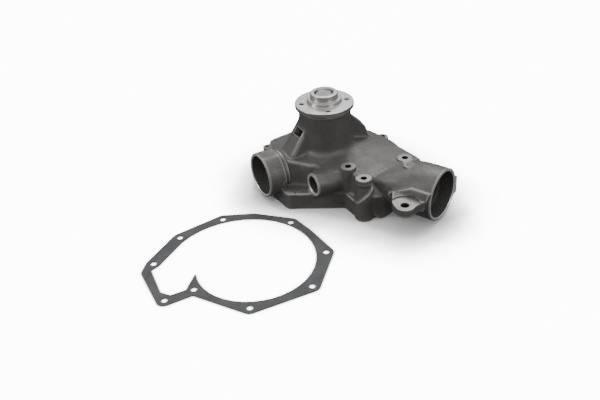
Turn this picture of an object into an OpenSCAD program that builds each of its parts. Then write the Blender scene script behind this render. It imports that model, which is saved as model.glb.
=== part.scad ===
// Coolant pump of a heavy diesel engine: an iron housing, a belt-pulley hub on a shaft in two
// ball bearings, a face seal, an impeller, and the loose joint gasket that comes with it.
// The shaft stands along Z. Z = 0 is the joint face, and the origin is where the shaft meets it.

/* [Joint face] */
// Height of the joint flange, which holds the spiral chamber
flange_h = 25; // [24:0.5:28]
// Metal outside each bolt centre
rim_w = 10; // [9:0.5:12]
// Diameter of the housing bolt holes
bolt_d = 9; // [8.4:0.1:9.5]
// Thickness of the loose gasket
gasket_t = 1; // [0.8:0.1:1.5]

/* [Housing] */
// Height of the deck round the tower's foot
deck_h = 60; // [58:0.5:62]
// Height of the bolt bosses that stand through the deck
boss_h = 64; // [63:0.5:66]
// Height of the bearing tower's top
tower_h = 119.5; // [119.3:0.1:119.6]
// Outer diameter of the bearing tower
tower_d = 76; // [74:0.5:77]

/* [Ports] */
// Bore of the large port
large_bore_d = 66; // [62:0.5:67]
// Outer diameter of the large port
large_port_d = 75; // [74:0.5:78]
// Bore of the medium port
medium_bore_d = 58; // [54:0.5:59]
// Outer diameter of the medium port
medium_port_d = 67; // [66:0.5:69]
// Bore of the small port
small_bore_d = 25; // [22:0.5:26]
// Outer diameter of the small port
small_port_d = 34; // [32:0.5:35]

/* [Drive hub] */
// Diameter of the hub's flange
hub_d = 86; // [84:0.5:90]
// Height of the hub flange's top face
hub_face_h = 128.8; // [128.6:0.1:129.2]
// Diameter of the pulley's pilot
pilot_d = 40; // [38:0.5:42]
// Diameter of the pulley bolts' circle
hub_pcd = 66; // [64:0.5:68]
// Diameter of the holes tapped for the pulley bolts
hub_hole_d = 6.8; // [6.4:0.1:7]

/* [Impeller] */
// Diameter of the impeller
impeller_d = 128; // [120:0.5:132]
// Number of vanes
vane_count = 6; // [5:1:8]

/* [Hidden] */

$fn = 96;
hull_fn = 24;
eps = 0.02;          // air between pieces that are fitted together in one body
past = 1;            // how far a cutter runs past a face
corner_step = 12;    // degrees of each facet of the joint face's round corners

// Colours
iron = [0.36, 0.35, 0.33];
steel = [0.74, 0.74, 0.73];
bright = [0.80, 0.80, 0.80];
fibre = [0.30, 0.31, 0.32];
rubber = [0.10, 0.10, 0.11];
brass_c = [0.78, 0.63, 0.33];
carbon = [0.17, 0.17, 0.18];
ceramic = [0.88, 0.87, 0.82];

// Holes for the housing bolts: [distance from the shaft, bearing]
hole_a = [126.3, -58.3];
hole_b = [116.8, -28.6];
hole_c = [111.0, 6.6];
hole_d = [102.8, 61.2];
hole_e = [103.5, 111.1];
hole_f = [99.5, 152.4];
hole_g = [90.7, 204.6];
hole_h = [83.1, 261.3];
hole_i = [122.0, 264.3];
holes = [hole_a, hole_b, hole_c, hole_d, hole_e, hole_f, hole_g, hole_h, hole_i];
tall_holes = [hole_a, hole_h, hole_i];
through_holes = [hole_a, hole_b, hole_c, hole_d, hole_e, hole_f, hole_h, hole_i];
blind_depth = 18;            // the one hole that doesn't reach the flange's upper face
back_holes = [hole_b, hole_c, hole_d, hole_e, hole_f];

// The joint face's outline runs rim_w outside these points: the bolts, two corners and the tail
face_points = [hole_a, hole_b, hole_c, [103.5, 29.5], hole_d, [96, 79.4], hole_e, hole_f,
               hole_g, hole_h, hole_i, [129.7, -66]];

// Spiral chamber: it opens clockwise from the tongue and ends in a tail beside the tongue
tongue_bearing = -77.1;
tongue_r = 70.3;
spiral_rise = 0.119;         // per degree
spiral_sweep = 315;
spiral_step = 9;
tail_points = [[59, -102.7], [54.6, -115.4], [5.4, -120.5], [-7, -111.7], [-7.9, -90.7]];
roof_t = 6;                  // iron between the spiral chamber and the inlet chamber
spiral_h = flange_h - roof_t;
eye_r = 38;

// Deck edge over the inlet chamber: [distance, bearing, height], left and back, then right
deck_left = [[64, 218, 53], [68, 200, 54], [78, 184, 54], [94.9, 136.5, 44], [96.5, 119, 45],
             [86, 89.3, 46], [88, 63, 45], [90, 40, 45], [94.5, 12.4, 45], [95.8, -1.3, 46]];
deck_right = [[95.8, -1.3, 46], [102.7, -17.8, 48], [110, -34.9, 54], [142, -49.3, 56],
              [127.8, -66.9, 58], [118, -96, 57], [84, -104, 57], [72, -113, 54],
              [65, -132, 53]];
deck_ring_r = 50;            // the deck's flat ring round the tower
casing_t = 6.5;

// Ports: mouth centre and bearing. A port's own X runs out of its mouth.
large_mouth = [72.4, -187, 41.3];
large_bearing = -66;
medium_mouth = [-110, 4.4, 39];
medium_bearing = 180;
small_mouth = [-60.2, -63.4, 40];
small_bearing = 180;
large_len = 118;             // how far the large port's outside runs in
medium_len = 45;
small_len = 42;
large_bore_len = 22;         // machined depth of each bore
medium_bore_len = 21;
small_bore_len = 18;
port_step = 2;               // a machined bore is this much wider than the cast passage
crown_start = 26;            // the large port is round this far in, then its crown slopes down
crown_pitch = 20;
crown_t = 6;                 // iron over the passage below the sloping crown

// Small features of the housing
lug = [8.6, -188.0];        // bracket lug on the large port's near side
lug_face = 48.5;
lug_t = 11.5;
lug_r = 13.2;
lug_spot_r = 20.5;
lug_tap_d = 10.2;
knee = [9.8, -126.2];        // half-round corner of the flange
knee_r = 12;
knee_h = 30;
blind_boss = [51.7, -138.6];
blind_boss_r = 8.5;
blind_boss_h = 72;
side_boss = [94.9, 134.6];   // tapped boss on the left edge: distance, bearing
side_boss_r = 6;
side_boss_h = 45;
side_tap_d = 5;
side_tap_len = 12;

// Blister with the weep window, and the rib on the other side of the tower
blister_y = 6;
blister_w = 34;
window_y = 2.1;
window_w = 13;
window_h = 12;
window_z = 90;
rib_bearing = -7;
rib_t = 6;
rib_profile = [[30, 55], [70, 55], [69.3, 60], [65.5, 73], [56.5, 85.5], [40.5, 101], [30, 106]];

// Bearings: 25 x 62 x 17 deep-groove
brg_bore_r = 12.5;
brg_out_r = 31;
brg_w = 17;
ball_r = 5.75;
ball_pitch_r = 21.75;
ball_count = 7;
groove_gap = 0.05;
inner_land_r = 17.6;
outer_land_r = 26.2;
brg_lower_z = 81.5;
spacer_w = 2;
brg_upper_z = brg_lower_z + brg_w + spacer_w;
brg_top_z = brg_upper_z + brg_w;

// Seal and weep chamber
seal_bore_r = 20;
seal_bore_z = 50;
weep_r = 24;
weep_z = 66;
nose_r = 27;
seat_z = 41;                 // where the seal seat's boot begins
seat_t = 5;

// Shaft
shaft_low_z = 3;
shaft_seal_r = 11;
shaft_hub_r = 12;
shaft_top_z = 141.3;

// Hub
hub_rim_t = 5;
hub_edge_r = 38;
hub_under_h = 3.2;           // taper under the rim
hub_neck_r = 16.8;
step_r = 24.6;
step_h = 6;
pilot_h = 15;

// Impeller
plate_t = 4;
plate_z = 2.5;
vane_top_z = 17.5;
vane_t = 4.5;
vane_arc_r = 52;
boss_r = 17.5;
eye_boss_r = 16;

function polar(p) = [p[0] * cos(p[1]), p[0] * sin(p[1])];
function spiral_point(a) = polar([tongue_r + spiral_rise * a, tongue_bearing - a]);

module at(p) {
    translate([polar(p)[0], polar(p)[1], 0]) children();
}

module ring(r_in, r_out, z, h) {
    translate([0, 0, z]) difference() {
        cylinder(r = r_out, h = h);
        translate([0, 0, -past]) cylinder(r = r_in, h = h + 2 * past);
    }
}

// ---- Joint face ----

// An outline w outside a closed run of points: round at outer corners, sharp at inner ones
function direction(a, b) = atan2(b[1] - a[1], b[0] - a[0]);
function turn(a_in, a_out) = (a_out - a_in + 540) % 360 - 180;
function unit(a) = [cos(a), sin(a)];
function corner(p, a_in, a_out, w) =
    let (t = turn(a_in, a_out), n = ceil(t / corner_step))
    t < 0 ? [p + w / cos(t / 2) * unit(a_in - 90 + t / 2)]
          : [for (k = [0 : n]) p + w * unit(a_in - 90 + t * k / n)];
function outline(points, w) =
    let (n = len(points))
    [for (i = [0 : n - 1])
        each corner(points[i], direction(points[(i + n - 1) % n], points[i]),
                    direction(points[i], points[(i + 1) % n]), w)];

module face_outline() {
    polygon(outline([for (p = face_points) polar(p)], rim_w));
}

module spiral_outline() {
    polygon(concat([for (a = [0 : spiral_step : spiral_sweep]) spiral_point(a)], tail_points));
}

module bolt_holes() {
    for (p = through_holes) at(p) translate([0, 0, -past]) cylinder(d = bolt_d, h = boss_h + 2 * past);
    at(hole_g) translate([0, 0, -past]) cylinder(d = bolt_d, h = blind_depth + past);
}

// Half of the deck and casing: straight walls up to the deck edge, then a slope to the flat ring.
// The two halves differ by lap, so that no face of one lies in a face of the other.
module casing_shell(edge, lap) {
    z_base = flange_h - 3 - lap;
    hull() {
        for (p = edge) at(p) translate([0, 0, z_base])
            cylinder(r = 3 - lap, h = p[2] - lap - z_base, $fn = hull_fn);
        translate([0, 0, z_base])
            cylinder(r = deck_ring_r - lap, h = deck_h - lap - z_base, $fn = 40);
    }
}

// ---- Ports ----

module port(mouth, bearing) {
    translate(mouth) rotate([0, 0, bearing]) rotate([0, -90, 0]) children();
}

module port_body(mouth, bearing, d, length) {
    port(mouth, bearing) cylinder(d = d, h = length);
}

module port_bore(mouth, bearing, d, bore_len, passage_len) {
    port(mouth, bearing) {
        translate([0, 0, -past]) cylinder(d = d, h = bore_len + past);
        cylinder(d = d - 2 * port_step, h = passage_len);
    }
}

// Space under the large port's sloping crown, and under gap mm of iron
module below_crown(gap) {
    port(large_mouth, large_bearing) translate([large_port_d / 2 + 1.2 - gap, -60, crown_start])
        rotate([0, -crown_pitch, 0]) translate([-150, 0, -60]) cube([150, 120, 240]);
}

// Space above the spiral chamber's roof
module above_roof(length) {
    intersection() {
        children();
        translate([-length, -length, flange_h]) cube([2 * length, 2 * length, deck_h]);
    }
}

// ---- Housing ----

module bracket_lug() {
    low = lug_face - lug_t - large_mouth[2];
    hull() {
        translate([lug[0], lug[1], lug_face - lug_t])
            cylinder(r = lug_r, h = lug_t + 2, $fn = 40);
        port(large_mouth, large_bearing) {
            translate([low, -53, 46]) rotate([0, 90, 0]) cylinder(r = 5, h = 12, $fn = hull_fn);
            translate([low, -36, 8]) cube([10 - low, 6, 46]);
        }
    }
}

module blister() {
    hull() {
        translate([-62, blister_y - blister_w / 2, deck_h - 8]) cube([30, blister_w, 6]);
        translate([-37, blister_y - blister_w / 2 - 2, deck_h + 36]) cube([8, blister_w, 6]);
    }
}

module tower_rib() {
    rotate([90, 0, rib_bearing]) translate([0, 0, -rib_t / 2])
        linear_extrude(height = rib_t) polygon(rib_profile);
}

module weep_drain() {
    low_z = weep_z + 2;
    translate([-60, window_y - window_w / 2, window_z - window_h / 2])
        cube([60 - 33.5, window_w, window_h]);
    translate([-46, window_y - 5, low_z]) cube([11, 10, window_z - low_z]);
    translate([-46, window_y - 5, low_z]) cube([30, 10, 8]);
}

module housing_outside() {
    linear_extrude(height = flange_h) face_outline();
    casing_shell(deck_left, 0);
    casing_shell(deck_right, 0.3);
    cylinder(d = tower_d, h = tower_h);
    translate([0, 0, deck_h - 1]) cylinder(d1 = tower_d + 14, d2 = tower_d - 2, h = 7);
    intersection() {
        port_body(large_mouth, large_bearing, large_port_d, large_len);
        below_crown(0);
    }
    port_body(medium_mouth, medium_bearing, medium_port_d, medium_len);
    port_body(small_mouth, small_bearing, small_port_d, small_len);
    bracket_lug();
    blister();
    tower_rib();
    for (p = back_holes) at(p) translate([0, 0, past]) cylinder(r = rim_w - 0.5, h = flange_h + 7);
    at(hole_g) translate([0, 0, past]) cylinder(r = rim_w - 0.5, h = flange_h + 1);
    at(side_boss) cylinder(r = side_boss_r, h = side_boss_h);
    translate([knee[0], knee[1], 0]) cylinder(r = knee_r, h = knee_h);
    translate([blind_boss[0], blind_boss[1], deck_h - 10])
        cylinder(r = blind_boss_r, h = blind_boss_h - deck_h + 10);
    port(large_mouth, large_bearing) translate([-17, 32, 1]) cube([26, 10, 9]);
}

// Inlet chamber above the roof, round the seal nose
module inlet_chamber() {
    difference() {
        intersection() {
            rotate_extrude() polygon([[0, flange_h], [88, flange_h], [88, 38], [52, deck_h - 7],
                                      [0, deck_h - 7]]);
            linear_extrude(height = deck_h) polygon(
                [for (p = concat(deck_left, deck_right)) polar([p[0] - casing_t, p[1]])]);
        }
        translate([0, 0, seal_bore_z - 2]) cylinder(r = nose_r, h = deck_h);
    }
}

module port_passages() {
    port(large_mouth, large_bearing) translate([0, 0, -past])
        cylinder(d = large_bore_d, h = large_bore_len + past);
    intersection() {
        port_body(large_mouth, large_bearing, large_bore_d - 2 * port_step, 56);
        below_crown(crown_t);
    }
    port_bore(medium_mouth, medium_bearing, medium_bore_d, medium_bore_len, 24);
    port_bore(small_mouth, small_bearing, small_bore_d, small_bore_len, 46);
    above_roof(200) intersection() {
        port(large_mouth, large_bearing) translate([0, 0, 50])
            cylinder(d1 = large_bore_d - 8, d2 = 28, h = 75);
        below_crown(crown_t);
    }
    above_roof(200) port(medium_mouth, medium_bearing) translate([0, 0, 20])
        cylinder(d1 = medium_bore_d - 6, d2 = 30, h = 35);
}

module tower_bores() {
    translate([0, 0, brg_lower_z]) cylinder(r = brg_out_r, h = tower_h);
    translate([0, 0, weep_z]) cylinder(r = weep_r, h = brg_lower_z);
    translate([0, 0, seal_bore_z - 3]) cylinder(r = seal_bore_r, h = deck_h);
    ring(brg_out_r - 1, brg_out_r + 1.3, brg_top_z + 0.05, 1.1);
}

module housing() {
    color(iron) difference() {
        union() {
            difference() {
                housing_outside();
                translate([0, 0, -past]) linear_extrude(height = spiral_h + past) spiral_outline();
                translate([0, 0, spiral_h - past]) cylinder(r = eye_r, h = roof_t + 2 * past);
                inlet_chamber();
                port_passages();
            }
            for (p = tall_holes) at(p) cylinder(r = rim_w + 1, h = boss_h);
        }
        tower_bores();
        weep_drain();
        bolt_holes();
        translate([lug[0], lug[1], lug_face]) cylinder(r = lug_spot_r, h = 14);
        translate([lug[0], lug[1], 0]) cylinder(d = lug_tap_d, h = 55);
        at(side_boss) translate([0, 0, side_boss_h]) cylinder(r = side_boss_r, h = 12);
        at(side_boss) translate([0, 0, side_boss_h - side_tap_len]) cylinder(d = side_tap_d, h = 20);
    }
}

// ---- Loose gasket, laid flat beside the pump with its housing side up ----

module joint_gasket() {
    color(fibre) translate([-196, -125.5, 0]) mirror([1, -1, 0])
        linear_extrude(height = gasket_t) difference() {
            face_outline();
            spiral_outline();
            for (p = holes) translate(polar(p)) circle(d = bolt_d, $fn = 48);
        }
}

// ---- Drive hub and shaft ----

module drive_hub() {
    f = hub_face_h;
    color(bright) difference() {
        rotate_extrude() polygon([
            [shaft_hub_r + eps, brg_top_z + eps], [hub_neck_r, brg_top_z + eps],
            [hub_neck_r, f - hub_rim_t - hub_under_h], [hub_edge_r, f - hub_rim_t - hub_under_h + 1],
            [hub_d / 2, f - hub_rim_t], [hub_d / 2, f - 1], [hub_d / 2 - 1, f],
            [step_r, f], [step_r, f + step_h - 1], [step_r - 1, f + step_h],
            [pilot_d / 2, f + step_h], [pilot_d / 2, f + pilot_h - 2],
            [pilot_d / 2 - 2, f + pilot_h], [shaft_hub_r + 1.5, f + pilot_h],
            [shaft_hub_r + eps, f + pilot_h - 1.5]]);
        for (i = [0 : 3]) rotate([0, 0, 69 + 90 * i]) translate([hub_pcd / 2, 0, f - 12])
            cylinder(d = hub_hole_d, h = 20, $fn = 32);
    }
}

module shaft() {
    color(steel) difference() {
        rotate_extrude() polygon([
            [0, shaft_low_z], [9, shaft_low_z], [10, shaft_low_z + 1], [10, 22],
            [shaft_seal_r, 22], [shaft_seal_r, weep_z + 4], [brg_bore_r + 3.5, weep_z + 4],
            [brg_bore_r + 3.5, brg_lower_z - eps], [brg_bore_r, brg_lower_z - eps],
            [brg_bore_r, brg_top_z - 1], [shaft_hub_r, brg_top_z - 0.5],
            [shaft_hub_r, shaft_top_z - 1], [shaft_hub_r - 1, shaft_top_z], [0, shaft_top_z]]);
        translate([0, 0, shaft_top_z - 4]) cylinder(r1 = 0, r2 = 3.2, h = 4 + eps);
        translate([0, 0, shaft_low_z - eps]) cylinder(r1 = 3.2, r2 = 0, h = 4);
    }
}

// ---- Impeller ----

// One backward-curved vane: a slice of a tube whose centre stands off the shaft
module vane() {
    mid = (eye_boss_r + impeller_d / 2) / 2;
    intersection() {
        translate([mid - 4, vane_arc_r - 14, 0]) difference() {
            circle(r = vane_arc_r + vane_t / 2);
            circle(r = vane_arc_r - vane_t / 2);
        }
        difference() {
            circle(d = impeller_d - 2);
            circle(r = eye_boss_r - 1);
            translate([-impeller_d, -impeller_d]) square([impeller_d, 2 * impeller_d]);
            translate([0, vane_arc_r - 14]) square([impeller_d, impeller_d]);
        }
    }
}

module impeller() {
    color(iron) difference() {
        union() {
            translate([0, 0, plate_z]) cylinder(d = impeller_d, h = plate_t);
            translate([0, 0, plate_z]) cylinder(r = boss_r, h = 20);
            translate([0, 0, plate_z]) cylinder(r = eye_boss_r, h = seat_z - 1 - plate_z);
            for (i = [0 : vane_count - 1]) rotate([0, 0, 360 * i / vane_count])
                translate([0, 0, plate_z + plate_t - eps])
                    linear_extrude(height = vane_top_z - plate_z - plate_t) vane();
        }
        translate([0, 0, -past]) cylinder(r = 10 + eps, h = 23 + past);
        translate([0, 0, 20]) cylinder(r = shaft_seal_r + eps, h = seat_z);
        for (i = [0 : 1]) rotate([0, 0, 30 + 180 * i]) translate([26, 0, 0])
            cylinder(d = 6.8, h = plate_z + plate_t + past, $fn = 32);
    }
}

// ---- Ball bearings ----

module groove(z) {
    translate([ball_pitch_r, z + brg_w / 2]) circle(r = ball_r + groove_gap, $fn = 64);
}

module bearing_outer(z) {
    color(bright) rotate_extrude() difference() {
        translate([outer_land_r, z + eps]) square([brg_out_r - eps - outer_land_r, brg_w - 2 * eps]);
        groove(z);
    }
}

module bearing_inner(z) {
    color(bright) rotate_extrude() difference() {
        translate([brg_bore_r + eps, z + eps]) square([inner_land_r - brg_bore_r - eps,
                                                       brg_w - 2 * eps]);
        groove(z);
    }
}

module each_ball(z) {
    for (i = [0 : ball_count - 1]) rotate([0, 0, 360 * i / ball_count])
        translate([ball_pitch_r, 0, z + brg_w / 2]) children();
}

module bearing_balls(z) {
    color(steel) each_ball(z) sphere(r = ball_r, $fn = 48);
}

module bearing_cage(z) {
    color(brass_c) difference() {
        ring(20.2, 23.3, z + brg_w / 2 - 6.6, 13.2);
        each_ball(z) sphere(r = ball_r + 0.1, $fn = 48);
    }
}

module bearing_shields(z) {
    color(steel) {
        ring(inner_land_r + 0.3, outer_land_r - eps, z + 0.6, 0.8);
        ring(inner_land_r + 0.3, outer_land_r - eps, z + brg_w - 1.4, 0.8);
    }
}

module spacer_inner() {
    color(steel) ring(brg_bore_r + eps, inner_land_r, brg_lower_z + brg_w, spacer_w);
}

module spacer_outer() {
    color(steel) ring(outer_land_r, brg_out_r - eps, brg_lower_z + brg_w, spacer_w);
}

// Internal retaining ring with a gap and two eyes
module bore_circlip() {
    color(steel) translate([0, 0, brg_top_z + 0.1]) linear_extrude(height = 1) difference() {
        union() {
            difference() {
                circle(r = brg_out_r + 1.2);
                circle(r = brg_out_r - 3);
            }
            for (s = [-1, 1]) rotate(90 + 12 * s) translate([brg_out_r - 4, 0]) circle(r = 3.2);
        }
        for (s = [-1, 1]) rotate(90 + 12 * s) translate([brg_out_r - 4, 0]) circle(r = 1.2, $fn = 24);
        translate([-3.5, brg_out_r - 9]) square([7, 12]);
    }
}

// Pressed cap under the hub that throws dust off the bearing bore
module dust_slinger() {
    color(steel) ring(hub_neck_r + eps, brg_out_r - 1.6, tower_h - 0.5, 0.8);
}

module water_slinger() {
    color(rubber) ring(brg_bore_r + 3.5 + eps, weep_r - 2, 73, 2.5);
}

// ---- Face seal ----

module seal_cup() {
    color(brass_c) rotate_extrude() polygon([
        [seal_bore_r - 1, seal_bore_z - 3], [seal_bore_r + 3, seal_bore_z - 3],
        [seal_bore_r + 3, seal_bore_z - 2 - eps], [seal_bore_r - eps, seal_bore_z - 2 - eps],
        [seal_bore_r - eps, weep_z - 1], [shaft_seal_r + 1.5, weep_z - 1],
        [shaft_seal_r + 1.5, weep_z - 2], [seal_bore_r - 1, weep_z - 2]]);
}

// Coil spring as a stack of round turns joined by its end turns
module seal_spring() {
    turns = 4;
    pitch = 2.9;
    color(steel) for (i = [0 : turns - 1]) translate([0, 0, seal_bore_z + 3.2 + pitch * i])
        rotate_extrude() translate([17.9, 0]) circle(r = 0.8, $fn = 24);
}

module seal_bellows() {
    color(rubber) rotate_extrude() polygon([
        [12.6, 54.1], [17, 54.1], [17, 55.5], [15.4, 57], [16.8, 58.6], [15.4, 60.2],
        [16.8, 61.8], [16.8, weep_z - 2.1], [12.6, weep_z - 2.1], [12.6, 62],
        [13.8, 60.2], [12.6, 58.6], [13.8, 57]]);
}

module seal_carbon_ring() {
    color(carbon) rotate_extrude() polygon([
        [13, seat_z + seat_t + 0.05], [15.6, seat_z + seat_t + 0.05], [15.6, 48.5],
        [17, 48.5], [17, 54], [13, 54]]);
}

module seal_seat() {
    color(ceramic) ring(13.2, 18.4, seat_z + 1, seat_t - 1);
}

module seal_seat_boot() {
    color(rubber) rotate_extrude() polygon([
        [shaft_seal_r + eps, seat_z], [19.6, seat_z], [19.6, seat_z + seat_t - 1],
        [18.4 + eps, seat_z + seat_t - 1], [18.4 + eps, seat_z + 1 - eps],
        [13.2 - eps, seat_z + 1 - eps], [13.2 - eps, seat_z + seat_t - 1],
        [shaft_seal_r + eps, seat_z + seat_t - 1]]);
}

housing();
joint_gasket();
drive_hub();
shaft();
impeller();
bearing_outer(brg_upper_z);  // bearing_outer_upper
bearing_inner(brg_upper_z);  // bearing_inner_upper
bearing_balls(brg_upper_z);  // bearing_balls_upper
bearing_cage(brg_upper_z);  // bearing_cage_upper
bearing_shields(brg_upper_z);  // bearing_shields_upper
bearing_outer(brg_lower_z);  // bearing_outer_lower
bearing_inner(brg_lower_z);  // bearing_inner_lower
bearing_balls(brg_lower_z);  // bearing_balls_lower
bearing_cage(brg_lower_z);  // bearing_cage_lower
bearing_shields(brg_lower_z);  // bearing_shields_lower
spacer_inner();
spacer_outer();
bore_circlip();
dust_slinger();
water_slinger();
seal_cup();
seal_spring();
seal_bellows();
seal_carbon_ring();
seal_seat();
seal_seat_boot();
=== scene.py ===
# The looks of the coolant pump: an iron casting with its machined faces, a turned hub, and finishes
# for every other node. Lengths are in mm until a mesh is made, and s runs out of a port's mouth.
import bpy
import math
import numpy as np
import openvdb
from mathutils import Matrix, Vector


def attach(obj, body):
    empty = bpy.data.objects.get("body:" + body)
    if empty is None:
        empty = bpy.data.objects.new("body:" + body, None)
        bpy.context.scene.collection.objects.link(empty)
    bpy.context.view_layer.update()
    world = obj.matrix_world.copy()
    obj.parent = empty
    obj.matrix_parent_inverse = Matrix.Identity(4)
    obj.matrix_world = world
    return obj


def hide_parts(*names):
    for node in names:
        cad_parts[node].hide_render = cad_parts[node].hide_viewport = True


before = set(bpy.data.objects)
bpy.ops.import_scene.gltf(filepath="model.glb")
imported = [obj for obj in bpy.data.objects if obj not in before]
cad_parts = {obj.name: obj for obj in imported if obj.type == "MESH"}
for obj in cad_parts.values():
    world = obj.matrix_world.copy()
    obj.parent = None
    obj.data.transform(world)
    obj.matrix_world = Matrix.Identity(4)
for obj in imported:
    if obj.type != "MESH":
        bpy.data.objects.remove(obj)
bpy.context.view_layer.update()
MM = 0.001
collection = bpy.context.scene.collection


# ---------------------------------------------------------------- positions, in mm

def polar(r, bearing):
    """A point at a radius and a bearing in degrees from the shaft's axis."""
    return r * math.cos(math.radians(bearing)), r * math.sin(math.radians(bearing))


HOLES = {"a": polar(126.3, -58.3), "b": polar(116.8, -28.6), "c": polar(111.0, 6.6),
         "d": polar(102.8, 61.2), "e": polar(103.5, 111.1), "f": polar(99.5, 152.4),
         "g": polar(90.7, 204.6), "h": polar(83.1, 261.3), "i": polar(122.0, 264.3)}
FACE = [HOLES["a"], HOLES["b"], HOLES["c"], polar(103.5, 29.5), HOLES["d"], polar(96, 79.4),
        HOLES["e"], HOLES["f"], HOLES["g"], HOLES["h"], HOLES["i"], polar(129.7, -66)]
FLANGE_RIM = 10
FLANGE_H = 25
SPIRAL = [polar(70.3 + 0.119 * a, -77.1 - a) for a in range(0, 316, 3)] + [
    (59, -102.7), (54.6, -115.4), (5.4, -120.5), (-7, -111.7), (-7.9, -90.7)]
MOUTH_L = np.array([72.4, -187.0, 41.3])
BEARING_L = math.radians(-66)
MOUTH_M = np.array([-110.0, 4.4, 39.0])
MOUTH_S = np.array([-60.2, -63.4, 40.0])
BEARING_SIDE = math.pi
OUT_L = (math.cos(BEARING_L), math.sin(BEARING_L), 0)
OUT_SIDE = (-1, 0, 0)
UP = (0, 0, 1)
# Bore radius and depth at each mouth
BORE_L = (33, 22)
BORE_M = (29, 21)
BORE_S = (12.5, 18)
MOUTH_CHAMFER = 1.2
SMALL_CHAMFER = 1.0
CROWN_FROM = 26       # the large port's crown starts to fall this far behind its mouth
CROWN_SLOPE = 0.364
TOWER_R = 38
TOWER_TOP = 119.5
TOWER_BASE = 45
SPIRAL_TOP = 19
ROOM_FLOOR = 25
EYE_R = 38
BOLT_R = 4.5
TALL_BOSSES = "hia"
TALL_TOP = 64
LUG = (8.6, -188.0)
LUG_TOP = 48.5
LUG_HOLE_R = 5.1
KNEE = (9.8, -126.2)
BLIND = (51.7, -138.6)
SIDE = polar(94.9, 134.6)
SIDE_TOP = 45
SIDE_TAP_R = 2.5
SIDE_TAP_DEPTH = 12
SAME = 0.05           # faces this close to a plane lie in it


# ---------------------------------------------------------------- distance fields

STEP = 1.1
LOW = np.array([-116.0, -230.0, -5.0])
HIGH = np.array([126.0, 114.0, 125.0])
SHAPE = tuple(int(n) for n in np.ceil((HIGH - LOW) / STEP) + 1)
AX = [np.float32(LOW[i] + STEP * np.arange(SHAPE[i])) for i in range(3)]
FAR = 60
TINY = 1e-9
PLATE_EASE = 200      # lets the thin plate pass a little beside its points


class Window:
    """A box of the grid: x and y are 2-D, z is 1-D, and part() is the field inside it."""

    def __init__(self, low, high):
        cut = []
        for i in range(3):
            a = int(max(0, math.floor((low[i] - LOW[i]) / STEP)))
            b = int(min(SHAPE[i], math.ceil((high[i] - LOW[i]) / STEP) + 1))
            cut.append(slice(a, b))
        self.cut = tuple(cut)
        self.x, self.y = np.meshgrid(AX[0][cut[0]], AX[1][cut[1]], indexing="ij")
        self.z = AX[2][cut[2]][None, None, :]

    def flat(self, values):
        """Values over x and y, ready to be mixed with z."""
        return values[:, :, None]


def smin(a, b, k):
    """Joins two shapes with a fillet of about k."""
    h = np.clip(0.5 + 0.5 * (b - a) / k, 0, 1)
    return b + (a - b) * h - k * h * (1 - h)


def smax(a, b, k):
    """Keeps what two shapes share, with the edge rounded by about k."""
    return -smin(-a, -b, k)


def polygon(x, y, points):
    """Signed distance to a closed polygon, negative inside."""
    best = np.full(x.shape, 1e9, np.float32)
    inside = np.zeros(x.shape, bool)
    for (x0, y0), (x1, y1) in zip(points, points[1:] + points[:1]):
        ex, ey = x1 - x0, y1 - y0
        wx, wy = x - x0, y - y0
        t = np.clip((wx * ex + wy * ey) / (ex * ex + ey * ey), 0, 1)
        best = np.minimum(best, (wx - ex * t) ** 2 + (wy - ey * t) ** 2)
        if y0 != y1:
            hit = ((y0 <= y) != (y1 <= y)) & (x < x0 + (y - y0) * ex / ey)
            inside ^= hit
    return np.where(inside, -1, 1) * np.sqrt(best)


def disc(x, y, centre, r=0):
    """Distance outside a circle, or from its centre where r is left out."""
    return np.hypot(x - centre[0], y - centre[1]) - r


def along(x, y, mouth, bearing):
    """Distance out of a port's mouth, and sideways off its axis."""
    ux, uy = math.cos(bearing), math.sin(bearing)
    dx, dy = x - mouth[0], y - mouth[1]
    return dx * ux + dy * uy, dx * uy - dy * ux


def thin_plate(points, x, y):
    """A smooth height over x and y through the points (x, y, height)."""
    p = np.array(points, float)
    n = len(p)
    d = np.hypot(p[:, None, 0] - p[None, :, 0], p[:, None, 1] - p[None, :, 1])
    k = np.where(d > 0, d * d * np.log(np.maximum(d, TINY)), 0) + PLATE_EASE * np.eye(n)
    m = np.zeros((n + 3, n + 3))
    m[:n, :n] = k
    m[:n, n] = m[n, :n] = 1
    m[:n, n + 1] = m[n + 1, :n] = p[:, 0]
    m[:n, n + 2] = m[n + 2, :n] = p[:, 1]
    w = np.linalg.solve(m, np.concatenate([p[:, 2], [0, 0, 0]]))
    out = w[n] + w[n + 1] * x + w[n + 2] * y
    for i in range(n):
        r2 = (x - p[i, 0]) ** 2 + (y - p[i, 1]) ** 2
        out = out + w[i] * 0.5 * r2 * np.log(np.maximum(r2, TINY))
    return out.astype(np.float32)


# ---------------------------------------------------------------- the casting

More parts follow.
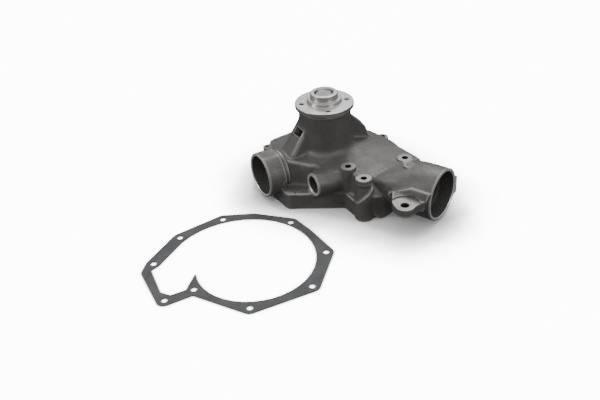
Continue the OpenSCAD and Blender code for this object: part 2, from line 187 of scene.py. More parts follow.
DECK_EDGE = [polar(*p) for p in [
    (60, 225), (62.5, 214), (66.5, 202), (76, 193), (83, 187), (85, 180), (87, 163), (94.9, 136.5),
    (96.5, 119), (86, 89.3), (88, 63), (90, 40), (94.5, 12.4), (95.8, -1.3), (102.7, -17.8),
    (110, -34.9), (142, -49.3), (130, -62), (112, -80), (118, -93), (112, -94), (103.5, -94.5),
    (87, -101), (78, -110), (69, -123)]]
DECK_HEIGHT = [(*polar(r, b), z) for r, b, z in [
    (58, 218, 56), (60, 203, 57), (76, 186, 62), (84, 183, 69), (84, 175, 70), (82, 166, 67),
    (66, 180, 59), (66, 163, 58), (88, 155, 56), (94.9, 136.5, 44), (96.5, 119, 45),
    (86, 89.3, 46), (88, 63, 45), (90, 40, 45), (94.5, 12.4, 45), (95.8, -1.3, 46),
    (102.7, -17.8, 48), (110, -34.9, 54), (142, -49.3, 55), (130, -62, 58.5), (112, -76, 59.5),
    (119, -96, 58), (113, -88, 57), (88, -103, 59), (78, -110, 55), (69, -123, 54), (80, -60, 60),
    (100, -72, 60.5), (108, -50, 58), (126, -58, 59)] + [(44, b, 60) for b in range(0, 360, 30)]]


def casting():
    """The outside of the casting as a distance field, before any chamber or cut."""
    field = np.full(SHAPE, FAR, np.float32)

    def add(win, shape, k):
        field[win.cut] = smin(field[win.cut], shape, k)

    whole = Window(LOW, HIGH)
    x, y, z = whole.x, whole.y, whole.z
    # Joint flange with a little draft
    face = polygon(x, y, FACE) - FLANGE_RIM
    field[:] = smax(whole.flat(face) + 0.02 * z, z - FLANGE_H, 2.5)
    # Deck and casing walls
    edge = polygon(x, y, DECK_EDGE)
    height = thin_plate(DECK_HEIGHT, x, y)
    lean = 0.12 + 0.14 * np.exp(-(np.hypot(x + 64, y + 24) / 26) ** 2)
    deck = smax(whole.flat(edge - 2.5) + whole.flat(lean) * (z - 40), (z - whole.flat(height)) * 0.94, 4)
    deck = np.maximum(deck, 12 - z)
    add(whole, deck, 5)
    # Large port: round at its mouth, then its crown slopes down into the deck
    s, n = along(x, y, MOUTH_L, BEARING_L)
    tube = np.hypot(whole.flat(n), z - MOUTH_L[2]) - 37.5
    crown = (z - MOUTH_L[2] - 38.7 - whole.flat((s + CROWN_FROM) * CROWN_SLOPE)) * 0.94
    tube = smax(tube, crown, 8)
    tube = np.maximum(tube, whole.flat(np.maximum(s, -118 - s)))
    near = whole.flat(np.clip((n - 5) / 20, 0, 1))
    add(whole, tube, 5 - 2 * near * np.clip((56 - z) / 8, 0, 1))
    # Bearing tower
    tower = Window((-75, -75, 40), (75, 75, 125))
    r = np.hypot(tower.x, tower.y)
    wall = tower.flat(r - TOWER_R) + 0.01 * (tower.z - 119)
    add(tower, np.maximum(wall, TOWER_BASE - tower.z), 9)
    # Medium port: collar, then a narrower neck
    med = Window((-115, -50, -2), (-40, 60, 90))
    s, n = along(med.x, med.y, MOUTH_M, BEARING_SIDE)
    off = np.hypot(med.flat(n), med.z - MOUTH_M[2])
    neck = np.maximum(off - 29.5, med.flat(np.maximum(s, -34 - s)))
    add(med, neck, 2.5)
    collar = smax(off - 33.5, med.z - MOUTH_M[2] - 31.8, 1)
    collar = smax(collar, med.flat(np.maximum(s, -27 - s)), 1.5)
    add(med, collar, 2)
    # Small port
    small = Window((-66, -100, 5), (10, -25, 80))
    s, n = along(small.x, small.y, MOUTH_S, BEARING_SIDE)
    spread = 1 + 0.011 * np.clip(-6 - s, 0, 60)
    off = np.hypot(small.flat(n / spread), small.z - MOUTH_S[2])
    add(small, np.maximum(off - 17, small.flat(np.maximum(s, -60 - s))), 7)
    # Blister with the weep window
    win = Window((-75, -35, 45), (-15, 45, 118))
    outer = -(win.flat(win.x) + 65) * 0.812 + (win.z - 60) * 0.584
    side = win.flat(np.maximum(-11.5 - win.y, win.y - 25)) + 0.05 * (win.z - 57)
    add(win, smax(smax(outer, side, 7), np.maximum(win.z - 106, TOWER_BASE - win.z), 3), 3)
    # Rib on the other side of the tower
    win = Window((20, -60, 45), (85, 10, 115))
    turn = math.radians(-7)
    c, q = math.cos(turn), math.sin(turn)
    r, t = win.x * c + win.y * q, win.y * c - win.x * q
    shape = polygon(*np.meshgrid(AX[0], AX[2][win.cut[2]], indexing="ij"), [
        (20, 50), (72, 50), (69.3, 60), (65.5, 73), (56.5, 85.5), (48, 93.5), (40.5, 101),
        (30, 106), (20, 106)])
    index = np.clip((r - LOW[0]) / STEP, 0, SHAPE[0] - 1.001)
    i0 = index.astype(int)
    f = (index - i0)[:, :, None]
    profile = shape[i0] * (1 - f) + shape[i0 + 1] * f
    add(win, smax(profile, win.flat(np.abs(t)) - 3, 1.5), 4)
    # Columns of the tall bolts, standing through the deck
    for key in TALL_BOSSES:
        cx, cy = HOLES[key]
        fillet = 3 if key == "i" else 1.6
        win = Window((cx - 20, cy - 20, -4), (cx + 20, cy + 20, 70))
        d = win.flat(disc(win.x, win.y, (cx, cy), 10.6)) + 0.015 * (win.z - 60)
        if key == "i":
            d = d + 1.8 * np.clip((57 - win.z) / 3, 0, 1)
            slope = win.z - 45 - 0.9 * win.flat((win.x + 7) * 0.803 - (win.y + 128) * 0.595)
            d = smin(d, np.maximum(win.flat(disc(win.x, win.y, (cx, cy), 12.6)), slope * 0.74), 5)
        add(win, np.maximum(d, win.z - (TALL_TOP + 2)), fillet)
    # Spot faces of the other bolts on the flange
    for key in "bcdefg":
        cx, cy = HOLES[key]
        top = 26.5 if key == "g" else 32
        win = Window((cx - 20, cy - 20, 0), (cx + 20, cy + 20, 45))
        seat = win.flat(disc(win.x, win.y, (cx, cy), 9.5))
        add(win, smax(seat, np.maximum(win.z - top, 1 - win.z), 1), 3)
    # Side boss, knee and blind boss
    win = Window((SIDE[0] - 20, SIDE[1] - 20, 0), (SIDE[0] + 20, SIDE[1] + 20, 60))
    add(win, np.maximum(win.flat(disc(win.x, win.y, SIDE, 6)), win.z - 46), 2.5)
    win = Window((-25, -160, -4), (45, -95, 70))
    knee = polygon(win.x, win.y, [(0, -124), KNEE, (22, -122), (40, -110), (0, -100), (-6, -110)])
    knee = knee - 12.5
    top = (win.z - 34.5 - 0.8 * win.flat(win.y + 139)) * 0.75
    under = (5 - win.z - 0.9 * win.flat(win.x + 2)) * 0.7
    knee = smax(win.flat(knee) + 0.03 * win.z, np.maximum(top, win.z - 56), 1)
    add(win, smax(knee, np.minimum(under, 8 - win.z), 2), 2.5)
    win = Window((BLIND[0] - 16, BLIND[1] - 16, 45), (BLIND[0] + 16, BLIND[1] + 16, 85))
    add(win, smax(win.flat(disc(win.x, win.y, BLIND, 8.3)), win.z - 72.6, 1.2), 0.8)
    # Bracket lug with the pad that carries it
    win = Window((-25, -225, 15), (65, -130, 75))
    s, n = along(win.x, win.y, MOUTH_L, BEARING_L)
    lobe = win.flat(np.hypot(s + 25, n - 58.7) - 13.4) - 0.09 * (LUG_TOP - win.z)
    web = polygon(s, n, [(-6, 20), (-6, 41), (-11, 49), (-12, 56), (-28, 69), (-38, 66), (-44, 60),
                         (-52, 46), (-56, 40), (-56, 20)])
    plate = smax(smin(lobe, win.flat(web), 2), np.maximum(win.z - 50.8, 37 - win.z), 1)
    add(win, plate, 2.5)
    shell = np.hypot(win.flat(n), win.z - MOUTH_L[2]) - 40.6
    reach = np.broadcast_to(win.flat(s), shell.shape)
    rise = np.broadcast_to(win.z, shell.shape)
    pad = polygon(reach, rise, [(-63, 43), (-61, 47), (-30.5, 61), (-0.8, 61), (-8.5, 32), (-50, 30)])
    pad = smax(np.maximum(shell, win.flat(20 - n)), pad, 0.8)
    add(win, pad, 1)
    # Rear lug of the large port
    win = Window((80, -200, 20), (125, -145, 60))
    s, n = along(win.x, win.y, MOUTH_L, BEARING_L)
    ear = win.flat(np.maximum(np.abs(s) - 9, n + 20))
    add(win, smax(ear, np.maximum(np.abs(win.z - 37.3) - 13, win.flat(-41.5 - n)), 1), 2)
    return field


def hollow(field):
    """Cuts the cast chambers: spiral, eye, inlet chamber and port passages."""
    whole = Window(LOW, HIGH)
    x, y, z = whole.x, whole.y, whole.z
    r = np.hypot(x, y)
    spiral = smax(whole.flat(polygon(x, y, SPIRAL)), z - SPIRAL_TOP, 3)
    eye = np.maximum(whole.flat(r - EYE_R), np.abs(z - 22) - 8)
    room = np.maximum(whole.flat(polygon(x, y, DECK_EDGE) + 9), ROOM_FLOOR - z)
    height = thin_plate(DECK_HEIGHT, x, y)
    room = smax(room, z - whole.flat(height) + 7, 5)
    room = np.maximum(room, whole.flat(r - 88))
    room = smax(room, 27 - whole.flat(r), 3)
    room = smax(room, 18 - whole.flat(disc(x, y, HOLES["g"])), 3)
    s, n = along(x, y, MOUTH_L, BEARING_L)
    large = np.hypot(whole.flat(n), z - MOUTH_L[2]) - 31
    large = smax(large, z - MOUTH_L[2] - 32.7 - whole.flat((s + CROWN_FROM) * CROWN_SLOPE), 6)
    large = smax(large, whole.flat(np.maximum(s - 5, -110 - s)), 4)
    large = np.maximum(large, ROOM_FLOOR - z - whole.flat(np.clip(s + 52, 0, 60)))
    s, n = along(x, y, MOUTH_M, BEARING_SIDE)
    medium = np.hypot(whole.flat(n), z - MOUTH_M[2]) - 27 + whole.flat(np.clip(-21 - s, 0, 20)) * 0.9
    medium = np.maximum(medium, whole.flat(np.maximum(s - 5, -55 - s)))
    medium = np.maximum(medium, ROOM_FLOOR - z - whole.flat(np.clip(s + 24, 0, 60)))
    s, n = along(x, y, MOUTH_S, BEARING_SIDE)
    little = np.hypot(whole.flat(n), z - MOUTH_S[2]) - 10.5
    little = np.maximum(little, whole.flat(np.maximum(s - 5, -46 - s)))
    wet_side = smin(smin(room, large, 6), np.minimum(medium, little), 3)
    inside = np.minimum(np.minimum(spiral, eye), wet_side)
    field[:] = np.maximum(field, -inside)


def housing_mesh():
    """The cast shape as a mesh, with its chambers but without machining."""
    field = casting()
    hollow(field)
    band = 3 * STEP
    grid = openvdb.FloatGrid(band)
    grid.copyFromArray(np.clip(field, -band, band).astype(np.float32))
    grid.transform = openvdb.createLinearTransform(voxelSize=STEP)
    points, quads = grid.convertToQuads(isovalue=0)
    points = (points + LOW) * MM
    mesh = bpy.data.meshes.new("housing_cast")
    mesh.from_pydata(points.tolist(), [], quads.tolist())
    mesh.update()
    return mesh


# ---------------------------------------------------------------- solids and cutters

def new_object(name, mesh):
    obj = bpy.data.objects.new(name, mesh)
    collection.objects.link(obj)
    return obj


def solid(name, points, faces):
    """A new object from points in metres and faces that look outward."""
    mesh = bpy.data.meshes.new(name)
    mesh.from_pydata(points, [], faces)
    mesh.update()
    return new_object(name, mesh)


def supported(profile, reach=0.25):
    """Adds a ring near both ends of each long stretch, so that smooth shading stays flat there."""
    out = []
    for (r0, h0), (r1, h1) in zip(profile, profile[1:] + profile[:1]):
        out.append((r0, h0))
        length = math.hypot(r1 - r0, h1 - h0)
        if length > 1.5:
            for t in (reach / length, 1 - reach / length):
                out.append((r0 + (r1 - r0) * t, h0 + (h1 - h0) * t))
    return out


def lathe(name, profile, place, axis, segments, closed=False):
    """A solid turned about an axis: profile is a run of (radius, distance along the axis)."""
    points, faces, rings = [], [], []
    z = Vector(axis).normalized()
    x = z.orthogonal().normalized()
    y = z.cross(x)
    for r, h in profile:
        centre = Vector(place) + z * h
        if r <= 0:
            rings.append([len(points)])
            points.append(centre)
            continue
        rings.append(list(range(len(points), len(points) + segments)))
        for i in range(segments):
            a = 2 * math.pi * i / segments
            points.append(centre + (x * math.cos(a) + y * math.sin(a)) * r)
    if closed:
        rings.append(rings[0])
    for lower, upper in zip(rings, rings[1:]):
        for i in range(segments):
            j = (i + 1) % segments
            if len(lower) == 1:
                faces.append((lower[0], upper[j], upper[i]))
            elif len(upper) == 1:
                faces.append((lower[i], lower[j], upper[0]))
            else:
                faces.append((lower[i], lower[j], upper[j], upper[i]))
    return solid(name, [p * MM for p in points], faces)


def prism(outline, z0, z1):
    """A cutter that raises an outline from z0 to z1."""
    n = len(outline)
    points = [(x * MM, y * MM, z * MM) for z in (z0, z1) for x, y in outline]
    faces = [tuple(range(n))[::-1], tuple(range(n, 2 * n))]
    faces += [(i, (i + 1) % n, (i + 1) % n + n, i + n) for i in range(n)]
    return solid("cutter", points, faces)


def slab(x0, x1, y0, y1, z0, z1, cell):
    """A block whose top is made of small cells, so that no face cut with it has a hole in it."""
    nx, ny = round((x1 - x0) / cell), round((y1 - y0) / cell)
    row = nx + 1
    points = [((x0 + cell * i) * MM, (y0 + cell * j) * MM, z1 * MM)
              for j in range(ny + 1) for i in range(row)]
    faces = [(j * row + i, j * row + i + 1, (j + 1) * row + i + 1, (j + 1) * row + i)
             for j in range(ny) for i in range(nx)]
    low = len(points)
    points += [(x * MM, y * MM, z0 * MM) for x, y in ((x0, y0), (x1, y0), (x1, y1), (x0, y1))]
    faces.append((low + 3, low + 2, low + 1, low))
    faces.append((low, low + 1, *range(nx, -1, -1)))
    faces.append((low + 1, low + 2, *(j * row + nx for j in range(ny, -1, -1))))
    faces.append((low + 2, low + 3, *(ny * row + i for i in range(row))))
    faces.append((low + 3, low, *(j * row for j in range(ny + 1))))
    return solid("cutter", points, faces)


def drill(r, place, axis, depth, chamfer=0.0, over=5.0, segments=64):
    """A cylindrical cutter that starts at place and goes against axis, and stands out of it by over."""
    profile = [(0, -depth), (r, -depth)]
    if chamfer:
        profile += [(r, -chamfer), (r + chamfer, 0)]
    profile += [(r + chamfer, over), (0, over)]
    return lathe("cutter", profile, place, axis, segments)


def carve(obj, cutters):
    """Cuts each cutter from obj with exact edges, then removes the cutters."""
    for c in cutters:
        mod = obj.modifiers.new("cut", "BOOLEAN")
        mod.operation = "DIFFERENCE"
        mod.solver = "MANIFOLD"
        mod.object = c
    bpy.context.view_layer.update()
    depsgraph = bpy.context.evaluated_depsgraph_get()
    mesh = bpy.data.meshes.new_from_object(obj.evaluated_get(depsgraph))
    obj.modifiers.clear()
    obj.data = mesh
    for c in cutters:
        bpy.data.objects.remove(c)


def window_cutter():
    """The weep window, through the blister's outer face into the weep chamber."""
    outline = []
    for cx, cy, a0 in ((1, 1, 0), (-1, 1, 90), (-1, -1, 180), (1, -1, 270)):
        for a in range(0, 91, 15):
            t = math.radians(a0 + a)
            outline.append((3.2 * cx + 2.5 * math.cos(t), 6.8 * cy + 2.5 * math.sin(t)))
    cutter = prism(outline, -14, 12)
    lean = Matrix.Rotation(math.radians(-54), 4, "Y")
    cutter.data.transform(Matrix.Translation((-0.0440, 0.0040, 0.0905)) @ lean)
    return cutter


def finish_shape(obj, sharp):
    """Smooth shading, with the edges over sharp degrees kept."""
    obj.data.polygons.foreach_set("use_smooth", [True] * len(obj.data.polygons))
    obj.data.set_sharp_from_angle(angle=math.radians(sharp))


housing = new_object("pump_casting", housing_mesh())
# Joint face and tower top
cutters = [slab(-152, 148, -248, 152, -20, 0, 5), drill(90, (0, 0, TOWER_TOP), UP, 0, over=20)]
# Stepped bore for the seal and the bearings
tower_bore = [(0, -45), (20, -45), (20, 15), (24, 15), (24, 31), (31, 31), (31, 68.5), (32, 69.5),
              (32, 80), (0, 80)]
cutters.append(lathe("cutter", tower_bore, (0, 0, 50), UP, 128))
# Flange bolts: hole g is blind and has its own spot face, the tall bosses have theirs
for key, p in HOLES.items():
    top, over = (18, 0) if key == "g" else (70, 5)
    cutters.append(drill(BOLT_R, (*p, top), UP, 90, over=over, segments=48))
cutters.append(drill(11, (*HOLES["g"], 24.4), UP, 0, over=12))
for key in TALL_BOSSES:
    cutters.append(drill(16, (*HOLES[key], TALL_TOP), UP, 0, over=5))
# Ports
cutters.append(drill(60, tuple(MOUTH_L), OUT_L, 0, over=20, segments=96))
cutters.append(drill(BORE_L[0], tuple(MOUTH_L), OUT_L, BORE_L[1], MOUTH_CHAMFER, 5, 160))
cutters.append(drill(45, tuple(MOUTH_M), OUT_SIDE, 0, over=20, segments=96))
cutters.append(drill(BORE_M[0], tuple(MOUTH_M), OUT_SIDE, BORE_M[1], MOUTH_CHAMFER, 5, 160))
small_face = MOUTH_S[0]
cutters.append(prism([(-80, -90), (small_face, -90), (small_face, -40), (-80, -40)], 25.2, 70))
cutters.append(drill(BORE_S[0], tuple(MOUTH_S), OUT_SIDE, BORE_S[1], SMALL_CHAMFER, 5, 96))
# Bracket lug and tapped side boss
cutters.append(drill(20.5, (*LUG, LUG_TOP), UP, 0, over=14, segments=96))
cutters.append(drill(LUG_HOLE_R, (*LUG, LUG_TOP), UP, 30, 1.0, 5, 48))
cutters.append(drill(6, (*SIDE, SIDE_TOP), UP, 0, over=12, segments=48))
cutters.append(drill(SIDE_TAP_R, (*SIDE, SIDE_TOP), UP, SIDE_TAP_DEPTH, 0.6, 5, 48))
cutters.append(window_cutter())
carve(housing, cutters)
finish_shape(housing, 38)
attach(housing, "pump_housing")
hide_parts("housing")


# The bored and drilled finishes are dark colours: painted shade inside the bores and bolt holes
CASTING_FINISHES = ("cast_iron", "machined_iron", "bored_iron_painted_shade", "drilled_iron_painted_shade", "spot_faced_iron")
CAST, MACHINED, BORED_SHADE, DRILLED_SHADE, SPOT_FACED = range(len(CASTING_FINISHES))


def face_values(mesh, key):
    values = np.empty(len(mesh.polygons) * 3, np.float32)
    mesh.polygons.foreach_get(key, values)
    return values.reshape(-1, 3)


def face_finishes(mesh):
    """Says which of CASTING_FINISHES each face has: as cast, or the mark of the tool that cut it, with bore
    and bolt-hole walls given painted shade.
    """
    x, y, z = (face_values(mesh, "center") / MM).T
    upward = face_values(mesh, "normal")[:, 2]
    flat_up = upward > 0.99
    r = np.hypot(x, y)
    machined = (z < SAME) & (upward < -0.9)
    machined |= (r < TOWER_R + 1) & (z > TOWER_TOP - 0.2)
    # The tower's bore, coloured dark: painted shade
    bored = (r < 31.6) & (z > 60)
    spot_faced = np.zeros(len(z), bool)
    drilled = np.zeros(len(z), bool)
    for key in TALL_BOSSES:
        spot_faced |= (disc(x, y, HOLES[key]) < 13) & flat_up & (np.abs(z - TALL_TOP) < SAME)
    # Bolt-hole walls, coloured near black: painted shade in the holes
    for p in HOLES.values():
        drilled |= (disc(x, y, p) < BOLT_R + 0.7) & (upward < 0.9)
    from_lug = disc(x, y, LUG)
    spot_faced |= (from_lug < 15) & flat_up & (np.abs(z - LUG_TOP) < SAME)
    drilled |= (from_lug < LUG_HOLE_R + 1.2) & (z > 30) & (z < LUG_TOP) & (upward < 0.9)
    for mouth, bearing, (bore, depth) in ((MOUTH_L, BEARING_L, BORE_L), (MOUTH_M, BEARING_SIDE, BORE_M),
                                          (MOUTH_S, BEARING_SIDE, BORE_S)):
        s, t = along(x, y, mouth, bearing)
        off = np.hypot(t, z - mouth[2])
        machined |= (np.abs(s) < SAME) & (off < 1.4 * bore)
        machined |= (s > -MOUTH_CHAMFER - SAME) & (s < 2 * SAME) & (off < bore + 1.3)
        # Bore walls, coloured dark: painted shade inside the ports
        bored |= (s > -depth - SAME) & (s < -MOUTH_CHAMFER + SAME) & (off < bore + 0.1)
    marks = [drilled, spot_faced, bored, machined]
    return np.select(marks, [DRILLED_SHADE, SPOT_FACED, BORED_SHADE, MACHINED], CAST).astype(np.int32)


def painted_edge_highlight(mesh, rounds=2):
    """Stores how far each point stands out of its surroundings, for the painted highlight that brightens
    convex edges.
    """
    n = len(mesh.vertices)
    co = np.empty(n * 3, np.float64)
    mesh.vertices.foreach_get("co", co)
    co = co.reshape(n, 3) / MM
    normal = np.empty(n * 3, np.float64)
    mesh.vertices.foreach_get("normal", normal)
    normal = normal.reshape(n, 3)
    edges = np.empty(len(mesh.edges) * 2, np.int64)
    mesh.edges.foreach_get("vertices", edges)
    a, b = edges.reshape(-1, 2).T
    step = co[b] - co[a]
    length = np.maximum((step ** 2).sum(1), 0.05)
    curve = np.zeros(n)
    np.add.at(curve, a, -(step * normal[a]).sum(1) / length)
    np.add.at(curve, b, (step * normal[b]).sum(1) / length)
    count = np.maximum(np.bincount(np.concatenate([a, b]), minlength=n), 1)
    curve = np.clip(curve / count, -0.5, 0.5)
    for _ in range(rounds):
        total = curve.copy()
        np.add.at(total, a, curve[b])
        np.add.at(total, b, curve[a])
        curve = total / (count + 1)
    mesh.attributes.new("painted_edge_highlight", "FLOAT", "POINT").data.foreach_set("value", curve.astype(np.float32))


# ---------------------------------------------------------------- materials

def shader(name):
    """A new material, with a function that adds and joins its nodes."""
    material = bpy.data.materials.new(name)
    material.use_nodes = True
    tree = material.node_tree
    surface = tree.nodes["Principled BSDF"]

    def node(kind, links=(), **settings):
        item = tree.nodes.new(kind)
        for key, value in settings.items():
            if key in item.inputs:
                item.inputs[key].default_value = value
            else:
                setattr(item, key, value)
        for socket, source in links:
            tree.links.new(source, item.inputs[socket])
        return item

    return material, tree, surface, node


def ramp(node, source, stops):
    """A colour ramp over source: stops are (place, grey or colour)."""
    item = node("ShaderNodeValToRGB", [("Fac", source)])
    elements = item.color_ramp.elements
    while len(elements) < len(stops):
        elements.new(0.5)
    for element, (place, colour) in zip(elements, stops):
        element.position = place
        element.color = (*colour, 1) if isinstance(colour, tuple) else (colour, colour, colour, 1)
    return item.outputs["Color"]


def scaled(colour, k):
    return tuple(c * k for c in colour)


DARK_AT, LIGHT_AT = 0.3, 0.7         # where the noise gives the darkest and the lightest tone
HIGHLIGHT_FROM, HIGHLIGHT_TO = 0.015, 0.09     # how far an edge stands out where the painted highlight starts and is full
# How much lighter the painted edge highlight makes the colour
HIGHLIGHT_GAIN = 2.7


def finish_material(name, colour, metallic, rough, grain, depth, spots, spread, edges=0.0, turned=0.0):
    """A surface with patchy colour and roughness and a fine bump.

    grain and depth are the bump's size in mm, spots and spread how much colour and roughness vary,
    edges how strongly the painted highlight brightens convex edges, and turned the scale of lathe rings
    about the axis.
    """
    material, tree, surface, node = shader(name)
    place = node("ShaderNodeTexCoord").outputs["Object"]
    fine = node("ShaderNodeTexNoise", [("Vector", place)], Scale=1000 / grain, Detail=3.0, Roughness=0.6)
    broad = node("ShaderNodeTexNoise", [("Vector", place)], Scale=45.0, Detail=4.0, Roughness=0.55)
    mixed = node("ShaderNodeMath", [(0, fine.outputs["Fac"]), (1, broad.outputs["Fac"])], operation="ADD")
    tone = node("ShaderNodeMath", [(0, mixed.outputs[0])], operation="MULTIPLY")
    tone.inputs[1].default_value = 0.5
    shade = ramp(node, tone.outputs[0], [(DARK_AT, scaled(colour, 1 - spots)),
                                         (LIGHT_AT, scaled(colour, 1 + spots))])
    # Painted highlight: convex edges get a lighter copy of the colour
    if edges:
        edge_highlight_node = node("ShaderNodeAttribute", attribute_name="painted_edge_highlight")
        share = node("ShaderNodeMapRange", [("Value", edge_highlight_node.outputs["Fac"])])
        share.inputs["From Min"].default_value = HIGHLIGHT_FROM
        share.inputs["From Max"].default_value = HIGHLIGHT_TO
        share.inputs["To Max"].default_value = edges
        mix = node("ShaderNodeMix", [("Factor", share.outputs["Result"]), (6, shade)], data_type="RGBA")
        mix.inputs[7].default_value = (*scaled(colour, HIGHLIGHT_GAIN), 1)
        shade = mix.outputs[2]
    tree.links.new(shade, surface.inputs["Base Color"])
    gloss = ramp(node, tone.outputs[0], [(DARK_AT, rough + spread / 2), (LIGHT_AT, rough - spread / 2)])
    tree.links.new(gloss, surface.inputs["Roughness"])
    height = fine.outputs["Fac"]
    if turned:
        rings = node("ShaderNodeTexWave", [("Vector", place)], wave_type="RINGS", rings_direction="Z",
                     Scale=turned, Distortion=0.0)
        both = node("ShaderNodeMath", [(0, rings.outputs["Fac"]), (1, height)], operation="ADD")
        height = both.outputs[0]
    bump = node("ShaderNodeBump", [("Height", height)], Strength=1.0, Distance=depth * MM)
    tree.links.new(bump.outputs["Normal"], surface.inputs["Normal"])
    surface.inputs["Metallic"].default_value = metallic
    return material


# Colour, metallic, roughness, grain, depth, spots, spread
FINISHES = {
    "cast_iron": ((0.135, 0.13, 0.125), 0.4, 0.5, 1.8, 0.42, 0.3, 0.22),
    "machined_iron": ((0.68, 0.67, 0.65), 0.5, 0.36, 1.6, 0.03, 0.22, 0.2),
    # Dark: painted shade inside the bores
    "bored_iron_painted_shade": ((0.2, 0.196, 0.19), 0.7, 0.42, 2.0, 0.08, 0.3, 0.2),
    # Near black: painted shade in the bolt holes
    "drilled_iron_painted_shade": ((0.03, 0.029, 0.028), 0.3, 0.5, 1.6, 0.05, 0.3, 0.2),
    "spot_faced_iron": ((0.26, 0.255, 0.247), 0.5, 0.4, 1.6, 0.05, 0.25, 0.2),
    "impeller_iron": ((0.15, 0.143, 0.132), 0.5, 0.5, 1.0, 0.14, 0.25, 0.16),
    "gasket_fibre": ((0.085, 0.088, 0.092), 0.0, 0.82, 0.7, 0.10, 0.35, 0.1),
    "turned_steel": ((0.58, 0.57, 0.56), 1.0, 0.35, 1.2, 0.02, 0.08, 0.1),
    "shaft_steel": ((0.5, 0.5, 0.5), 1.0, 0.24, 1.2, 0.01, 0.08, 0.08),
    "bearing_steel": ((0.62, 0.62, 0.63), 1.0, 0.15, 1.0, 0.005, 0.05, 0.06),
    "plain_steel": ((0.4, 0.4, 0.41), 1.0, 0.38, 1.0, 0.02, 0.12, 0.1),
    "brass": ((0.66, 0.46, 0.19), 1.0, 0.3, 1.0, 0.02, 0.12, 0.12),
    "rubber": ((0.022, 0.022, 0.024), 0.0, 0.62, 0.6, 0.05, 0.2, 0.12),
    "carbon": ((0.035, 0.035, 0.038), 0.0, 0.34, 0.6, 0.01, 0.2, 0.1),
    "ceramic": ((0.76, 0.74, 0.68), 0.0, 0.22, 0.8, 0.005, 0.04, 0.06),
}
# Cast iron gets the painted highlight on its convex edges
EXTRAS = {"cast_iron": {"edges": 0.95}, "turned_steel": {"turned": 180.0}, "shaft_steel": {"turned": 240.0}}
MATERIALS = {name: finish_material(name, *numbers, **EXTRAS.get(name, {}))
             for name, numbers in FINISHES.items()}

finishes = face_finishes(housing.data)
# Painted highlight on convex edges, stored per point
painted_edge_highlight(housing.data)
housing.data.materials.clear()
for name in CASTING_FINISHES:
    housing.data.materials.append(MATERIALS[name])
housing.data.polygons.foreach_set("material_index", finishes)


# ---------------------------------------------------------------- drive hub

def arc(centre, r, a0, a1, n):
    """Points of an arc, in degrees, for a lathe profile."""
    return [(centre[0] + r * math.cos(math.radians(a0 + (a1 - a0) * i / n)),
             centre[1] + r * math.sin(math.radians(a0 + (a1 - a0) * i / n))) for i in range(n + 1)]


HUB_Z = 128.8          # top face of the flange
HUB_FOOT = 115.6
HUB_HOLES = 4
HUB_HOLE_R = 3.4
HUB_PITCH_R = 33
# Neck, underside, rim, flange face, step, pilot and the recess around the shaft's end
hub_profile = [(12, HUB_FOOT), (16.8, HUB_FOOT)]
hub_profile += arc((19.8, HUB_Z - 10.2), 3, 180, 90, 4)
hub_profile += [(38, HUB_Z - 7.6)]
hub_profile += arc((42.2, HUB_Z - 5.4), 0.8, -60, 0, 3)
hub_profile += arc((42.2, HUB_Z - 0.8), 0.8, 0, 90, 4)
hub_profile += arc((26.4, HUB_Z + 1.8), 1.8, 270, 180, 5)
hub_profile += arc((23.4, HUB_Z + 4.8), 1.2, 0, 90, 4)
hub_profile += arc((21.4, HUB_Z + 7.4), 1.4, 270, 180, 4)
hub_profile += arc((18.6, HUB_Z + 13.6), 1.4, 0, 90, 5)
hub_profile += [(14.8, HUB_Z + 15), (13.8, HUB_Z + 14), (13.8, HUB_Z + 8), (12, HUB_Z + 7.4)]
hub = lathe("drive_hub_turned", supported(hub_profile), (0, 0, 0), UP, 192, closed=True)
hub_places = [polar(HUB_PITCH_R, 69 + 360 / HUB_HOLES * i) for i in range(HUB_HOLES)]
carve(hub, [drill(HUB_HOLE_R, (*p, HUB_Z), UP, 20, 1.1, 5, 48) for p in hub_places])
finish_shape(hub, 32)
hub.data.materials.clear()
hub.data.materials.append(MATERIALS["turned_steel"])
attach(hub, "rotor")
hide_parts("drive_hub")

# Every other CAD node keeps its shape and gets the finish its slot names
for name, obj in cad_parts.items():
    if name in ("housing", "drive_hub"):
        continue
    for slot in obj.material_slots:
        slot.material = MATERIALS[slot.material.name.split(".")[0]]


# ---------------------------------------------------------------- camera, lights, floor

camera = bpy.data.objects.new("camera", bpy.data.cameras.new("camera"))
collection.objects.link(camera)
camera.data.lens = 44.16
camera.data.sensor_width = 36
camera.data.clip_start = 0.01
camera.location = (-0.47977, -0.84338, 0.58928)
camera.rotation_mode = "XYZ"
camera.matrix_world = (Matrix.Translation(camera.location)
                       @ Matrix.Rotation(math.radians(-27), 4, "Z")
                       @ Matrix.Rotation(math.radians(57.091), 4, "X")
                       @ Matrix.Rotation(math.radians(-3.875), 4, "Z"))
bpy.context.scene.camera = camera
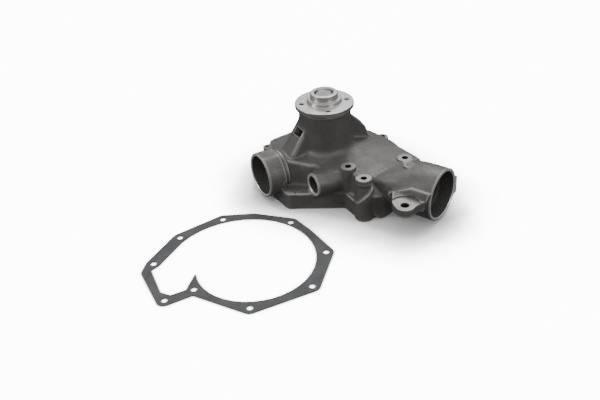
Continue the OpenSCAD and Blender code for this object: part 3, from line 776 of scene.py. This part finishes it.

# The paper glows evenly, with a painted contact shadow where something stands close above it
FLOOR_HALF = 4
FLOOR_Z = -0.0005
FLOOR_GLOW = 12.0
floor_mesh = bpy.data.meshes.new("floor")
corners = [(FLOOR_HALF * i, FLOOR_HALF * j, FLOOR_Z) for i, j in ((-1, -1), (1, -1), (1, 1), (-1, 1))]
floor_mesh.from_pydata(corners, [], [(0, 1, 2, 3)])
floor = new_object("floor", floor_mesh)
paper, _, paper_surface, paper_node = shader("white_paper")
paper_surface.inputs["Base Color"].default_value = (0.9, 0.9, 0.9, 1)
paper_surface.inputs["Roughness"].default_value = 0.9
near_object = paper_node("ShaderNodeAmbientOcclusion", Distance=0.1, samples=16)
painted_contact_shadow = ramp(paper_node, near_object.outputs["AO"],
               [(0.3, 0.0), (0.6, 0.015), (0.85, 0.2), (0.97, 1.0)])
paper.node_tree.links.new(painted_contact_shadow, paper_surface.inputs["Emission Color"])
paper_surface.inputs["Emission Strength"].default_value = FLOOR_GLOW
floor_mesh.materials.append(paper)
floor.visible_diffuse = False
floor.visible_glossy = False

# A sky that is grey at the horizon and white overhead
HORIZON_GREY = (0.13, 0.13, 0.13, 1)
WHITE = (1, 1, 1, 1)
world = bpy.data.worlds.new("world")
bpy.context.scene.world = world
world.use_nodes = True
sky = world.node_tree
direction = sky.nodes.new("ShaderNodeTexCoord")
split = sky.nodes.new("ShaderNodeSeparateXYZ")
sky.links.new(direction.outputs["Generated"], split.inputs[0])
gradient = sky.nodes.new("ShaderNodeValToRGB")
sky.links.new(split.outputs["Z"], gradient.inputs["Fac"])
stops = gradient.color_ramp.elements
stops[0].position, stops[0].color = 0.0, HORIZON_GREY
stops[1].position, stops[1].color = 0.75, WHITE
sky.links.new(gradient.outputs["Color"], sky.nodes["Background"].inputs["Color"])
sky.nodes["Background"].inputs["Strength"].default_value = 0.9


def area(name, place, target, size, power):
    """A square area light at place that looks at target."""
    light = bpy.data.lights.new(name, "AREA")
    light.size = size
    light.energy = power
    obj = bpy.data.objects.new(name, light)
    collection.objects.link(obj)
    obj.location = place
    obj.rotation_euler = (Vector(target) - Vector(place)).to_track_quat("-Z", "Y").to_euler()


area("key", (0.6, 0.75, 1.3), (0, -0.05, 0.05), 0.6, 11)
area("left", (-1.5, 0.3, 0.8), (0, -0.05, 0.05), 0.4, 7)
area("front", (0.5, -1.6, 0.7), (0, -0.1, 0.05), 0.4, 5)
